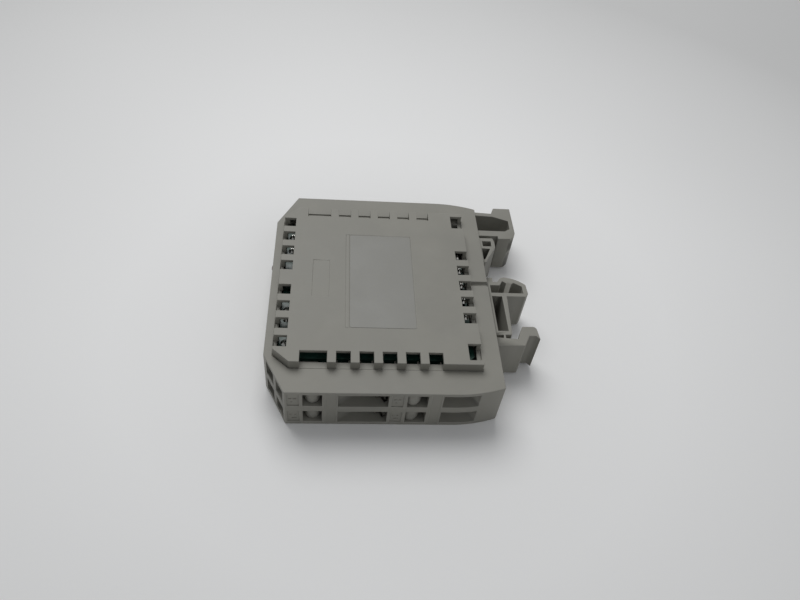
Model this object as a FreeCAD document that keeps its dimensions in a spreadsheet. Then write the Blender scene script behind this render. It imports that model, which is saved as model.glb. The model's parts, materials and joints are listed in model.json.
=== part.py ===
import FreeCAD, Part
import math
import os
import re
import Sketcher
from FreeCAD import Placement, Rotation, Vector

# DIN-rail relay module lying on its side: +Z is the module's width, +X runs from the front
# to the rail foot, and Y is its height on the rail. Formulas use module coordinates, with
# x = 0 on the front face; every sub-part is then moved back by front_offset.

doc = FreeCAD.newDocument("relay_module")

DIMENSIONS = {
    # shell
    "front_offset": 31.8, "body_depth": 53.5, "body_height": 63.5, "body_width": 12.4,
    "chamfer_run": 5.05, "chamfer_drop": 10.1, "taper_run": 11.0, "taper_drop": 1.9,
    "taper_radius": 32.8, "face_wall": 1.6, "floor_wall": 1.2, "over": 1.0, "overlap": 0.1,
    # electronics bay
    "bay_left": 2.75, "bay_right": 48.0, "bay_half": 23.4, "bay_corner_x": 2.2,
    "bay_corner_y": 2.0, "hollow_left": 1.4, "hollow_right": 49.2, "hollow_top": 11.2,
    "post_size": 2.4, "post_inset": 19.0, "post_margin": 0.3,
    # terminal rows and face openings
    "row_low": 3.1, "row_pitch": 6.2, "window_size": 4.2, "window_near": 11.1,
    "window_far": 34.3, "slot_start": 16.8, "slot_end": 27.7, "slot_lip": 1.3,
    "slot_depth": 6.0,
    "pocket_start": 39.8, "pocket_end": 48.4, "pocket_lean": 3.4, "pocket_depth": 5.0,
    "chamfer_angle": 26.57, "access_start": 1.5, "access_width": 3.7, "access_gap": 1.4,
    "access_depth": 2.4, "access_step": 0.2, "access_end": 2.7, "marker_near": 5.6,
    "marker_far": 28.4, "marker_width": 2.6, "marker_depth": 0.3, "band_near": 14.1,
    "band_far": 37.2, "band_width": 2.2, "band_depth": 0.15, "band_margin": 0.7,
    # screw clamp, along the screw: head_top is the distance from the wire axis to the head
    "head_top": 6.6, "head_height": 1.4, "head_radius": 1.6, "drive_width": 0.5,
    "drive_depth": 0.7, "shank_radius": 1.2, "shank_length": 3.45, "thread_clearance": 0.05,
    "cage_top": 5.1, "cage_plate": 0.9, "cage_half": 2.0, "cage_side": 2.1,
    "cage_inner_side": 1.6, "clamp_face": -0.7, "clamp_thickness": 2.2, "bar_low": 1.65,
    "bar_thickness": 0.6, "bar_side": 1.35, "bar_end": 0.2, "tongue_end": 6.7,
    "tongue_side": 1.3, "nose_radius": 1.95, "nose_depth": 2.1, "nose_side": 3.2, "nose_cut": 40.0,
    "wire_reach": 7.1, "clamp_offset": 0.4, "far_tilt": 30.0, "cage_travel": 1.6,
    "pocket_gap": 0.12, "head_gap": 0.2, "near_driver": 3.4, "far_driver": 9.5,
    "far_room": 2.6, "tail_drop": 0.4, "pin_width": 0.7, "pin_upper": 6.6, "pin_lower": 8.4,
    # circuit board and solder
    "board_left": 3.0, "board_right": 47.7, "board_half": 21.9, "board_low": 9.9,
    "board_thickness": 1.6, "board_corner": 1.2, "pin_hole": 0.55, "solder_radius": 0.95,
    "solder_height": 0.9, "solder_top": 0.35, "lead_half": 0.3, "stand_off": 0.2,
    "foot_drop": 2.0, "foot_thickness": 0.4,
    # side cover
    "cover_left": 2.05, "cover_right": 48.9, "cover_half": 25.2, "cover_chamfer_x": 3.75,
    "cover_chamfer_y": 3.4, "cover_rise": 2.25, "cover_skin": 0.9, "cover_rim": 1.0,
    "seat_depth": 0.25, "seat_gap": 0.15, "seam_depth": 0.6, "notch_depth": 3.1, "notch_width": 3.15,
    "notch_pitch": 5.15, "notch_first": 17.6, "long_notch_start": 8.0,
    "long_notch_end": 14.0, "edge_notch": 2.95, "edge_width": 3.05, "edge_first": 4.0,
    "edge_pitch": 5.17, "rail_notch": 3.15, "rail_notch_first": -11.7,
    "rail_notch_pitch": 5.2, "tall_low": 19.4, "tall_high": 23.9, "label_left": 18.9,
    "label_right": 34.4, "label_half": 15.35, "tag_left": 10.0, "tag_right": 14.0,
    "tag_half": 6.0, "label_depth": 0.15, "step_width": 0.9, "step_depth": 0.07,
    "leg_half": 0.75, "leg_outer": 23.1, "leg_thickness": 0.9, "leg_low": 8.2,
    "leg_near": 20.175, "leg_far": 35.625, "bead": 0.25, "bead_low": 0.2, "bead_high": 0.9,
    "lug_reach": 0.4, "lug_side": 0.7, "lug_low": 11.6, "lug_high": 12.1,
    # rail foot: the fixed hook grips the rail's flange at rail_low, the latch at rail_high
    "foot_low": 0.6, "foot_high": 11.5, "foot_floor": 1.4, "flange_front": 57.8,
    "flange_back": 58.9, "rail_low": -15.0, "rail_high": 20.3, "foot_end": 64.3,
    "root": 0.6, "hollow_start": 54.4, "rail_gap": 0.1, "hook_web": 2.1, "hook_neck": 60.3,
    "hook_bend": 61.8, "hook_back": 63.4, "hook_rise": 0.9, "jaw_end": 60.4,
    "jaw_rise": 3.7, "jaw_side": 63.9, "jaw_round": 1.0, "tie_left": 55.5,
    "tie_width": 0.5, "latch_gap": 0.05, "latch_travel": 1.5, "leg_root": 3.2,
    "latch_room": 0.2, "latch_wall": 2.1, "latch_back": 63.9, "jaw_depth": 61.9,
    "latch_jaw": 3.2, "lug_start": 59.2, "web_end": 13.9, "web_hollow_end": 12.7,
    "centre_low": 1.6, "centre_end": 63.8, "centre_high": 4.7, "centre_notch": 55.3,
    "centre_step": 3.3, "centre_radius": 9.0, "loop_low": 10.2, "loop_mid": 15.9,
    "loop_top": 18.1, "loop_high": 19.4, "loop_inner": 56.7, "centre_groove": 0.8,
    "groove_y": 0.85, "groove_width": 1.4,
    # relay
    "relay_left": 31.5, "relay_right": 48.0, "relay_front": -14.0, "relay_back": 13.0,
    "relay_low": 1.6, "relay_high": 8.9, "case_wall": 0.6, "base_high": 9.7, "coil_x": 36.5,
    "coil_z": 5.4, "coil_front": -12.0, "coil_back": 1.9, "flange_radius": 3.1,
    "flange_thickness": 0.8, "winding_radius": 2.8, "tube_radius": 1.6, "core_radius": 1.2,
    "core_fit": 0.03, "coil_fit": 0.05, "pole_radius": 2.3, "pole_thickness": 1.0,
    "yoke_x": 41.3, "yoke_thickness": 1.0, "yoke_drop": 1.25, "yoke_foot": 2.5,
    "iron_half": 2.4, "armature_y": 3.7, "armature_thickness": 0.9, "armature_left": 33.5,
    "armature_right": 43.2, "armature_gap": 0.15, "strip_start": -4.0, "strip_end": 3.3,
    "strip_thickness": 0.2, "spring_y": 7.9, "spring_thickness": 0.25, "spring_tip": 34.0,
    "blade_half": 1.8, "contact_half": 1.5, "card_half": 1.4, "card_left": 32.25,
    "card_spine": 33.3, "card_arm": 34.8, "card_hook": 34.0, "card_low": 2.75,
    "card_high": 8.95, "contact_left": 35.3, "contact_thickness": 0.4, "rest_y": 9.05,
    "rest_post": 11.9, "work_y": 5.95, "work_right": 45.4, "work_low": 1.2,
    "work_foot": 0.55, "pin_x": 46.8, "pin_half": 0.35, "pin_step": 5.08, "pin_first": -8.7,
    "rivet_x": 36.4, "rivet_radius": 0.9, "rivet_height": 0.6, "rivet_rise": 0.35,
    # status light
    "light_y": 8.9, "light_z": 8.0, "light_radius": 1.45, "light_out": 0.7,
    "light_back": 4.4, "light_collar": 0.3, "collar_length": 0.9, "light_pitch": 1.27,
    "light_bend": 6.0, "wire_half": 0.25,
}

sheet = doc.addObject("Spreadsheet::Sheet", "dims")
for row, (alias, value) in enumerate(DIMENSIONS.items(), start=1):
    sheet.set(f"A{row}", alias)
    sheet.set(f"B{row}", str(value))
    sheet.setAlias(f"B{row}", alias)
doc.recompute()

SUBPARTS = {}


def formula(text):
    """Points every dimension name in a formula at its cell."""
    def cell(match):
        word = match.group(0)
        return f"dims.{word}" if word in DIMENSIONS else word
    return re.sub(r"[a-z_]+", cell, str(text))


def number(text):
    return float(sheet.evalExpression(formula(text)))


def bind(item, prop, text):
    item.setExpression(prop, formula(text))


def box(name, low, high):
    item = doc.addObject("Part::Box", name)
    for prop, axis, start, end in zip(("Length", "Width", "Height"), "xyz", low, high):
        bind(item, prop, f"({end}) - ({start})")
        bind(item, f"Placement.Base.{axis}", start)
    return item


def rod(name, start, axis, radius, length):
    """Cylinder from a start point along an axis letter."""
    item = doc.addObject("Part::Cylinder", name)
    turns = {"x": Rotation(Vector(0, 1, 0), 90), "y": Rotation(Vector(1, 0, 0), -90),
             "z": Rotation()}
    item.Placement = Placement(Vector(), turns[axis])
    bind(item, "Radius", radius)
    bind(item, "Height", length)
    for letter, place in zip("xyz", start):
        bind(item, f"Placement.Base.{letter}", place)
    return item


def fuse(name, items):
    item = doc.addObject("Part::MultiFuse", name)
    item.Shapes = items
    return item


def cut(name, base, tool):
    item = doc.addObject("Part::Cut", name)
    item.Base = base
    item.Tool = tool
    return item


def group(name, items):
    item = doc.addObject("Part::Compound", name)
    item.Links = items
    return item


def arc_side(start, end, radius):
    """Arc between two corners; a positive radius bulges to the right of travel."""
    chord = end - start
    sagitta_leg = math.sqrt(radius * radius - chord.Length ** 2 / 4.0)
    left = Vector(-chord.y, chord.x, 0).normalize()
    centre = (start + end) * 0.5 + left * math.copysign(sagitta_leg, radius)
    first, last = (start, end) if radius > 0 else (end, start)
    angles = [math.atan2(p.y - centre.y, p.x - centre.x) for p in (first, last)]
    circle = Part.Circle(centre, Vector(0, 0, 1), abs(radius))
    return Part.ArcOfCircle(circle, angles[0], angles[1])


def prism(name, corners, low, high):
    """Pad of a closed outline. A corner is (x, y), or (x, y, radius) where an arc leaves it."""
    body = doc.addObject("PartDesign::Body", name)
    plane = next(f for f in body.Origin.OriginFeatures if f.Role == "XY_Plane")
    sketch = body.newObject("Sketcher::SketchObject", f"{name}_outline")
    sketch.AttachmentSupport = [(plane, "")]
    sketch.MapMode = "FlatFace"
    bind(sketch, "AttachmentOffset.Base.z", low)
    points = [Vector(number(c[0]), number(c[1]), 0) for c in corners]
    count = len(corners)
    ends = []
    for i, corner in enumerate(corners):
        start, end = points[i], points[(i + 1) % count]
        if len(corner) == 3:
            radius = number(corner[2])
            sketch.addGeometry(arc_side(start, end, radius))
            ends.append((1, 2) if radius > 0 else (2, 1))
            index = sketch.addConstraint(Sketcher.Constraint("Radius", i, abs(radius)))
            sketch.renameConstraint(index, f"radius_{i}")
            bind(sketch, f"Constraints.radius_{i}", f"abs({corner[2]})")
        else:
            sketch.addGeometry(Part.LineSegment(start, end))
            ends.append((1, 2))
    for i, corner in enumerate(corners):
        after = (i + 1) % count
        sketch.addConstraint(Sketcher.Constraint("Coincident", i, ends[i][1], after, ends[after][0]))
        for kind, letter, value in (("DistanceX", "x", points[i].x), ("DistanceY", "y", points[i].y)):
            index = sketch.addConstraint(Sketcher.Constraint(kind, -1, 1, i, ends[i][0], value))
            sketch.renameConstraint(index, f"{letter}_{i}")
            bind(sketch, f"Constraints.{letter}_{i}", corner["xy".index(letter)])
    pad = body.newObject("PartDesign::Pad", f"{name}_pad")
    pad.Profile = sketch
    bind(pad, "Length", f"({high}) - ({low})")
    body.Tip = pad
    return body


def subpart(label, item, turn=None, spot=("0", "0", "0")):
    """Names the finished sub-part and places it in the module's frame."""
    item.Label = label
    item.Placement = Placement(Vector(), turn or Rotation())
    bind(item, "Placement.Base.x", f"{spot[0]} - front_offset")
    bind(item, "Placement.Base.y", spot[1])
    bind(item, "Placement.Base.z", spot[2])
    SUBPARTS[label] = item


def span(side, near, far):
    """Low and high formulas of a stretch that lies at near to far on one side of y = 0."""
    return (near, far) if side > 0 else (f"-({far})", f"-({near})")


# Each clamp's own frame: X along its screw away from the head, Y inwards, Z up.
def clamp_turn(side, tilt):
    if side < 0:
        return Rotation(Vector(0, 0, 1), tilt)
    return Rotation(Vector(0, 0, 1), -tilt) * Rotation(Vector(1, 0, 0), 180)


def clamp_spot(side, tilt, window, row):
    x = f"{window} - clamp_offset * cos({tilt} * 1 deg) - wire_reach * sin({tilt} * 1 deg)"
    y = f"body_height / 2 - wire_reach * cos({tilt} * 1 deg) + clamp_offset * sin({tilt} * 1 deg)"
    return x, (y if side > 0 else f"-({y})"), f"row_low + {row} * row_pitch"


CLAMPS = []
for side_name, side in (("front", -1), ("back", 1)):
    for place_name, window, tilt in (("outer", "window_near", "0"), ("inner", "window_far", "far_tilt")):
        for row_name, row in (("lower", 0), ("upper", 1)):
            CLAMPS.append({
                "name": f"{side_name}_{place_name}_{row_name}", "side": side, "tilt": tilt, "row": row,
                "turn": clamp_turn(side, number(tilt)), "spot": clamp_spot(side, tilt, window, row),
            })


def set_frame(item, clamp):
    item.Placement = Placement(Vector(), clamp["turn"])
    for letter, place in zip("xyz", clamp["spot"]):
        bind(item, f"Placement.Base.{letter}", place)


def clamp_cavity(clamp):
    """Room for one clamp: cage, wire tongue, contact bar and the way in for a screwdriver."""
    name = clamp["name"]
    straight = clamp["tilt"] == "0"
    inner_end = "cage_half" if straight else "cage_half + far_room"
    driver_start = "near_driver" if straight else "far_driver"
    travel = "cage_travel + pocket_gap"
    cage = box(f"{name}_cage_room",
               ("-cage_top - head_gap", "-cage_half - pocket_gap", "-cage_side - overlap"),
               (f"clamp_face + clamp_thickness + {travel}", inner_end, "cage_side + overlap"))
    tongue = box(f"{name}_tongue_room",
                 ("clamp_offset - nose_radius - pocket_gap", "-tongue_end - pocket_gap", "-cage_side"),
                 (f"clamp_offset + nose_radius + {travel}", "-cage_half", "cage_side"))
    driver = box(f"{name}_driver_room",
                 (f"-head_top - {driver_start}", "-head_radius - overlap", "-cage_side"),
                 ("-cage_top", "head_radius + overlap", "cage_side"))
    room = fuse(f"{name}_room", [cage, tongue, driver])
    set_frame(room, clamp)
    return room


def face_cut(name, side, left, right, depth, z):
    """Pocket of one depth in a long face."""
    y = span(side, f"body_height / 2 - {depth}", "body_height / 2 + over")
    return box(name, (left, y[0], z[0]), (right, y[1], z[1]))


def driver_slot(name, side, z):
    """Screwdriver slot whose floor slopes down, parallel to the inner screw, to that screw's head."""
    face, floor = "body_height / 2", "body_height / 2 - slot_depth"
    ramp = "(slot_depth - slot_lip) / tan(far_tilt * 1 deg)"
    corners = [("slot_start", f"{face} + over"), ("slot_start", f"{face} - slot_lip"),
               (f"slot_start + {ramp}", floor), ("slot_end", floor), ("slot_end", f"{face} + over")]
    return prism(name, [(x, f"{side} * ({y})") for x, y in corners], z[0], z[1])


def side_pocket(name, side, z):
    """Blind pocket beside the rail end, whose rail-end wall leans in towards its floor."""
    face, floor = "body_height / 2", "body_height / 2 - pocket_depth"
    lean = "pocket_lean * over / pocket_depth"
    corners = [("pocket_start", f"{face} + over"), ("pocket_start", floor),
               ("pocket_end - pocket_lean", floor), (f"pocket_end + {lean}", f"{face} + over")]
    return prism(name, [(x, f"{side} * ({y})") for x, y in corners], z[0], z[1])


def face_openings():
    """Square wire windows, screwdriver slots, pockets, marker seats and shallow bands."""
    cuts = []
    for side in (-1, 1):
        for row in (0, 1):
            place = f"{side}_{row}"
            middle = f"row_low + {row} * row_pitch"
            z = (f"{middle} - window_size / 2", f"{middle} + window_size / 2")
            for key in ("near", "far"):
                cuts.append(face_cut(f"window_{key}_{place}", side, f"window_{key} - window_size / 2",
                                     f"window_{key} + window_size / 2", "face_wall", z))
                cuts.append(face_cut(f"marker_{key}_{place}", side, f"marker_{key}",
                                     f"marker_{key} + marker_width", "marker_depth", z))
            cuts.append(driver_slot(f"slot_{place}", side, z))
            cuts.append(side_pocket(f"pocket_{place}", side, z))
        for key in ("near", "far"):
            cuts.append(face_cut(f"band_{key}_{side}", side, f"band_{key}", f"band_{key} + band_width",
                                 "band_depth", ("band_margin", "body_width - band_margin")))
    return cuts


def chamfer_openings():
    """Two access holes a row in each slanted corner face, each with a step behind its mouth."""
    cuts = []
    for side in (-1, 1):
        for row in (0, 1):
            for column in (0, 1):
                place = f"{side}_{row}_{column}"
                start = f"access_start + {column} * (access_width + access_gap)"
                low_y, high_y = span(side, start, f"{start} + access_width")
                z = f"row_low - window_size / 2 + {row} * row_pitch"
                mouth = box(f"access_{place}", ("-over", low_y, z),
                            ("access_depth", high_y, f"{z} + window_size"))
                end = box(f"access_inner_{place}", ("0", f"{low_y} + access_step", f"{z} + access_step"),
                          ("access_end", f"{high_y} - access_step", f"{z} + window_size - access_step"))
                holder = fuse(f"access_frame_{place}", [mouth, end])
                turn = Rotation(Vector(0, 0, 1), -side * number("chamfer_angle"))
                holder.Placement = Placement(Vector(), turn)
                bind(holder, "Placement.Base.y", f"{side} * (body_height / 2 - chamfer_drop)")
                cuts.append(holder)
    return cuts


def notch_lugs():
    """Small ledges on the bay's long walls, in the lower corners of the cover's side notches."""
    lugs = []
    for side in (-1, 1):
        y = span(side, "bay_half - lug_side", "bay_half + overlap")
        for k in range(5):
            for end in (-1, 1):
                edge = f"notch_first + {k} * notch_pitch + {end} * notch_width / 2"
                reach = (edge, f"{edge} + lug_reach") if end < 0 else (f"{edge} - lug_reach", edge)
                lugs.append(box(f"notch_lug_{len(lugs)}", (reach[0], y[0], "lug_low"),
                                (reach[1], y[1], "lug_high")))
    return lugs


def housing():
    half = "body_height / 2"
    shell = prism("shell_block", [
        ("chamfer_run", f"-{half}"), ("body_depth - taper_run", f"-{half}", "taper_radius"),
        ("body_depth", f"-{half} + taper_drop"), ("body_depth", f"{half} - taper_drop", "taper_radius"),
        ("body_depth - taper_run", half), ("chamfer_run", half),
        ("0", f"{half} - chamfer_drop"), ("0", f"-{half} + chamfer_drop"),
    ], "0", "body_width")
    bay = prism("bay", [
        ("bay_left + bay_corner_x", "-bay_half"), ("bay_right", "-bay_half"), ("bay_right", "bay_half"),
        ("bay_left + bay_corner_x", "bay_half"), ("bay_left", "bay_half - bay_corner_y"),
        ("bay_left", "-bay_half + bay_corner_y"),
    ], "floor_wall", "body_width + over")
    seat = prism("cover_seat", cover_outline("-seat_gap"), "body_width - seat_depth", "body_width + over")
    seam_outer = prism("seam_outer", cover_outline("-seat_gap"), "body_width - seam_depth", "body_width")
    seam_inner = prism("seam_inner", cover_outline("0"), "body_width - seam_depth - over",
                       "body_width + over")
    seam = cut("cover_seam", seam_outer, seam_inner)
    hollow = box("hollow", ("hollow_left", "-bay_half + bay_corner_y", "floor_wall"),
                 ("hollow_right", "bay_half - bay_corner_y", "hollow_top"))
    light = rod("light_hole", ("-over", "light_y", "light_z"), "x", "light_radius + rail_gap",
                "hollow_left + 2 * over")
    guide = box("latch_guide",
                ("body_depth - leg_root - latch_room", "rail_high - rail_gap", "foot_low - rail_gap"),
                ("body_depth + over", "rail_high + latch_wall + latch_travel + latch_room",
                 "foot_high + rail_gap"))
    groove = box("rail_mark", ("cover_right", "groove_y", "body_width - centre_groove"),
                 ("body_depth + over", "groove_y + groove_width", "body_width + over"))
    cuts = [bay, seat, seam, hollow, light, guide, groove] + face_openings() + chamfer_openings()
    cuts += [clamp_cavity(clamp) for clamp in CLAMPS]
    hollowed = cut("shell_hollowed", shell, fuse("shell_cuts", cuts))
    posts = []
    for left in ("board_left + post_margin", "board_right - post_margin - post_size"):
        for low in ("-post_inset - post_size", "post_inset"):
            posts.append(box(f"board_post_{len(posts)}", (left, low, "floor_wall - overlap"),
                             (f"{left} + post_size", f"{low} + post_size", "board_low")))
    subpart("housing", fuse("housing_whole", [hollowed] + posts + notch_lugs() + rail_foot()))


def rail_foot():
    """Fixed hook, centre hook with its ribs, and the sloped support loop behind the latch."""
    body_end = "body_depth - root"
    support = "flange_front - rail_gap"
    inside = ("foot_low + foot_floor", "foot_high + over")
    hook = prism("fixed_hook", [
        (body_end, "rail_low - hook_web"), ("hook_neck", "rail_low - hook_web"),
        ("hook_bend", "rail_low + hook_rise"), ("hook_back", "rail_low + hook_rise"),
        ("foot_end", "rail_low - rail_gap"), ("jaw_side", "rail_low + jaw_rise - jaw_round", "jaw_round"),
        ("jaw_side - jaw_round", "rail_low + jaw_rise"), ("jaw_end", "rail_low + jaw_rise"),
        ("flange_back", "rail_low - rail_gap"), (body_end, "rail_low + 0.4"),
    ], "foot_low", "foot_high")
    tie = box("web_tie", ("tie_left", "rail_low", "foot_low"),
              ("tie_left + tie_width", "-web_end + overlap", "foot_high"))
    centre = prism("centre_hook", [
        (body_end, "-web_end"), (f"{support} - 0.2", "-web_end"), (support, "-web_end + 0.5"),
        (f"{support} + 0.5", "-centre_low"), ("centre_end - 0.8", "-centre_low"),
        ("centre_end", "-centre_low + 1.1"), ("centre_end - 0.2", "2.5", "centre_radius"),
        ("58.3", "centre_high + 0.3"), ("57.4", "centre_high + 0.1"), ("56.3", "centre_step"),
        ("centre_notch", "centre_step"), ("centre_notch", "centre_high"), (body_end, "centre_high"),
    ], "foot_low", "foot_high")
    hook_hollow = prism("hook_hollow", [
        ("hollow_start", "-0.4"), ("centre_end - 1.2", "-0.4"), ("centre_end - 1.3", "1.9"),
        ("60.6", "3.1"), ("60", "2.6", "0.9"), ("58.6", "2.8"), ("57.7", "3.6"), ("56.9", "2.1"),
        ("hollow_start", "2.1"),
    ], *inside)
    web_hollow = box("web_hollow", ("hollow_start", "-web_hollow_end", inside[0]),
                     ("flange_front - 0.9", "-centre_low", inside[1]))
    open_centre = cut("centre_hook_open", centre, fuse("centre_hollows", [hook_hollow, web_hollow]))
    loop = prism("support_loop", [
        (body_end, "loop_low"), ("hollow_start", "loop_low"), (support, "loop_mid"),
        (support, "loop_top"), (f"{support} - 0.4", "loop_high"), (body_end, "loop_high"),
    ], "foot_low", "foot_high")
    loop_hole = box("loop_hole", ("hollow_start", "loop_mid + 0.4", "foot_low - over"),
                    ("loop_inner", "loop_top + 0.1", "foot_high + over"))
    loop_relief = prism("loop_relief", [
        ("54", "loop_low + 1"), ("54.5", "loop_low + 1.4"), ("56.2", "loop_mid - 0.5"),
        ("54", "loop_mid - 0.5"),
    ], *inside)
    open_loop = cut("support_loop_open", loop, fuse("loop_hollows", [loop_hole, loop_relief]))
    return [hook, tie, open_centre, open_loop]


def rail_latch():
    """Sprung rail hook: a leg in the housing, a back arm, a release lug and a curved jaw."""
    face = "body_depth + latch_gap"
    half = "body_height / 2"
    outer = prism("latch_outer", [
        (face, "rail_high"), ("flange_back", "rail_high"), ("flange_back", "rail_high - 1"),
        ("jaw_depth", "rail_high - 1", "latch_jaw"), ("latch_back", "rail_high + 1.6"),
        ("latch_back", half), ("lug_start", half), ("lug_start - 0.9", f"{half} - 2.25"),
        (face, f"{half} - 1.95"),
    ], "foot_low", "foot_high")
    hollow = prism("latch_hollow", [
        (f"{face} - over", "rail_high + latch_wall"), ("latch_back - 2.7", "rail_high + latch_wall"),
        ("latch_back - 1.2", "rail_high + latch_wall + 1"), ("latch_back - 1.2", "26.6"),
        ("lug_start - 0.6", "28.2"), (f"{face} - over", "28.5"),
    ], "foot_low + foot_floor", "foot_high + over")
    leg = box("latch_leg", ("body_depth - leg_root", "rail_high", "foot_low"),
              (f"{face} + overlap", "rail_high + latch_wall", "foot_high"))
    subpart("rail_latch", fuse("latch_whole", [cut("latch_open", outer, hollow), leg]))


def cover_outline(inset):
    left, right, half = f"cover_left + {inset}", f"cover_right - {inset}", f"cover_half - {inset}"
    return [(f"{left} + cover_chamfer_x", f"-({half})"), (right, f"-({half})"), (right, half),
            (f"{left} + cover_chamfer_x", half), (left, f"{half} - cover_chamfer_y"),
            (left, f"-({half} - cover_chamfer_y)")]


def cover_notches(depth):
    """The open notches along the cover's four edges, cut between two heights."""
    cuts = []
    rail_end = "cover_right - rail_notch"
    for side in (-1, 1):
        y = span(side, "cover_half - notch_depth", "cover_half + over")
        cuts.append(box(f"long_notch_{side}", ("long_notch_start", y[0], depth[0]),
                        ("long_notch_end", y[1], depth[1])))
        for k in range(5):
            x = f"notch_first + {k} * notch_pitch"
            cuts.append(box(f"side_notch_{side}_{k}", (f"{x} - notch_width / 2", y[0], depth[0]),
                            (f"{x} + notch_width / 2", y[1], depth[1])))
        for k in range(4):
            y = f"{side} * (edge_first + {k} * edge_pitch)"
            cuts.append(box(f"front_notch_{side}_{k}",
                            ("cover_left - over", f"{y} - edge_width / 2", depth[0]),
                            ("cover_left + edge_notch", f"{y} + edge_width / 2", depth[1])))
        y = span(side, "tall_low", "tall_high")
        cuts.append(box(f"tall_notch_{side}", (rail_end, y[0], depth[0]),
                        ("cover_right + over", y[1], depth[1])))
    for k in range(5):
        y = f"rail_notch_first + {k} * rail_notch_pitch"
        cuts.append(box(f"rail_notch_{k}", (rail_end, f"{y} - edge_width / 2", depth[0]),
                        ("cover_right + over", f"{y} + edge_width / 2", depth[1])))
    return cuts


def side_cover():
    top = "body_width + cover_rise"
    skin = prism("cover_block", cover_outline("0"), "body_width - seat_depth", top)
    hollow = prism("cover_hollow", cover_outline("cover_rim"), "body_width - over",
                   f"{top} - cover_skin")
    cuts = [hollow] + cover_notches(("body_width - over", f"{top} + over"))
    for name in ("label", "tag"):
        cuts.append(box(f"{name}_recess", (f"{name}_left", f"-{name}_half", f"{top} - label_depth"),
                        (f"{name}_right", f"{name}_half", f"{top} + over")))
    cuts.append(box("label_step", ("label_left - step_width", "-label_half", f"{top} - step_depth"),
                    ("label_left + overlap", "label_half", f"{top} + over")))
    plate = cut("cover_plate", skin, fuse("cover_cuts", cuts))
    legs = []
    for side in (-1, 1):
        for x in ("leg_near", "leg_far"):
            y = span(side, "leg_outer - leg_thickness", "leg_outer")
            legs.append(box(f"cover_leg_{len(legs)}", (f"{x} - leg_half", y[0], "leg_low"),
                            (f"{x} + leg_half", y[1], f"{top} - cover_skin + overlap")))
            y = span(side, "leg_outer - overlap", "leg_outer + bead")
            legs.append(box(f"cover_bead_{len(legs)}", (f"{x} - leg_half", y[0], "leg_low + bead_low"),
                            (f"{x} + leg_half", y[1], "leg_low + bead_high")))
    subpart("side_cover", fuse("cover_whole", [plate] + legs))


def clamp_screw(clamp):
    name = clamp["name"]
    head = rod(f"{name}_head", ("-head_top", "0", "0"), "x", "head_radius", "head_height")
    shank = rod(f"{name}_shank", ("-head_top + head_height - overlap", "0", "0"), "x", "shank_radius",
                "shank_length + overlap")
    drive = box(f"{name}_drive", ("-head_top - over", "-head_radius - over", "-drive_width / 2"),
                ("-head_top + drive_depth", "head_radius + over", "drive_width / 2"))
    screw = cut(f"{name}_screw", fuse(f"{name}_blank", [head, shank]), drive)
    subpart(f"{name}_screw", screw, clamp["turn"], clamp["spot"])


def clamp_cage(clamp):
    """Folded cage that the screw pulls along, with its rounded nose behind the wire window."""
    name = clamp["name"]
    clamp_end = "clamp_face + clamp_thickness"
    frame = box(f"{name}_frame", ("-cage_top", "-cage_half", "-cage_side"),
                (clamp_end, "cage_half", "cage_side"))
    inside = box(f"{name}_inside", ("-cage_top + cage_plate", "-cage_half - over", "-cage_inner_side"),
                 ("clamp_face", "cage_half + over", "cage_inner_side"))
    thread = rod(f"{name}_thread", ("-cage_top - over", "0", "0"), "x", "shank_radius + thread_clearance",
                 "cage_plate + 2 * over")
    tongue = box(f"{name}_tongue", ("clamp_face", "-tongue_end + nose_depth", "-tongue_side"),
                 (clamp_end, "-cage_half + overlap", "tongue_side"))
    nose = doc.addObject("Part::Ellipsoid", f"{name}_nose")
    for prop, size in (("Radius1", "nose_side"), ("Radius2", "nose_radius"), ("Radius3", "nose_depth"),
                       ("Angle1", "-nose_cut"), ("Angle2", "nose_cut")):
        bind(nose, prop, size)
    bind(nose, "Placement.Base.x", "clamp_offset")
    bind(nose, "Placement.Base.y", "-tongue_end + nose_depth")
    bare = cut(f"{name}_folded", frame, fuse(f"{name}_holes", [inside, thread]))
    cage = fuse(f"{name}_cage_whole", [bare, tongue, nose])
    subpart(f"{name}_cage", cage, clamp["turn"], clamp["spot"])


def clamp_bar(clamp):
    """Fixed contact bar under the wire, with the tail and pin that carry it to the board."""
    name = clamp["name"]
    pin_y = "pin_upper" if clamp["row"] else "pin_lower"
    pin_top = f"board_low + board_thickness - row_low - {clamp['row']} * row_pitch"
    low, high = "-bar_low", "-bar_low + bar_thickness"
    # the clamp's own Z points down on the back side, so its pin leaves the other way
    if clamp["side"] < 0:
        tail_z, pin_z = ("-bar_side", "tail_drop"), ("tail_drop - overlap", pin_top)
    else:
        tail_z, pin_z = ("-tail_drop", "bar_side"), (f"-({pin_top})", "-tail_drop + overlap")
    bar = box(f"{name}_bar", (low, "-cage_half", "-bar_side"), (high, "cage_half + bar_end", "bar_side"))
    tail = box(f"{name}_tail", (low, "cage_half", tail_z[0]),
               (high, f"{pin_y} + pin_width / 2", tail_z[1]))
    pin = box(f"{name}_pin", (low, f"{pin_y} - pin_width / 2", pin_z[0]),
              (high, f"{pin_y} + pin_width / 2", pin_z[1]))
    whole = fuse(f"{name}_bar_whole", [bar, tail, pin])
    subpart(f"{name}_contact_bar", whole, clamp["turn"], clamp["spot"])


def clamp_pin(clamp):
    """Where a contact bar's pin passes through the board."""
    along = "(-bar_low + bar_thickness / 2)"
    inward = "pin_upper" if clamp["row"] else "pin_lower"
    cosine, sine = f"cos({clamp['tilt']} * 1 deg)", f"sin({clamp['tilt']} * 1 deg)"
    x, y = clamp["spot"][:2]
    return (f"{x} + {along} * {cosine} - {inward} * {sine}",
            f"{y} + {-clamp['side']} * ({along} * {sine} + {inward} * {cosine})")


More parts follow.
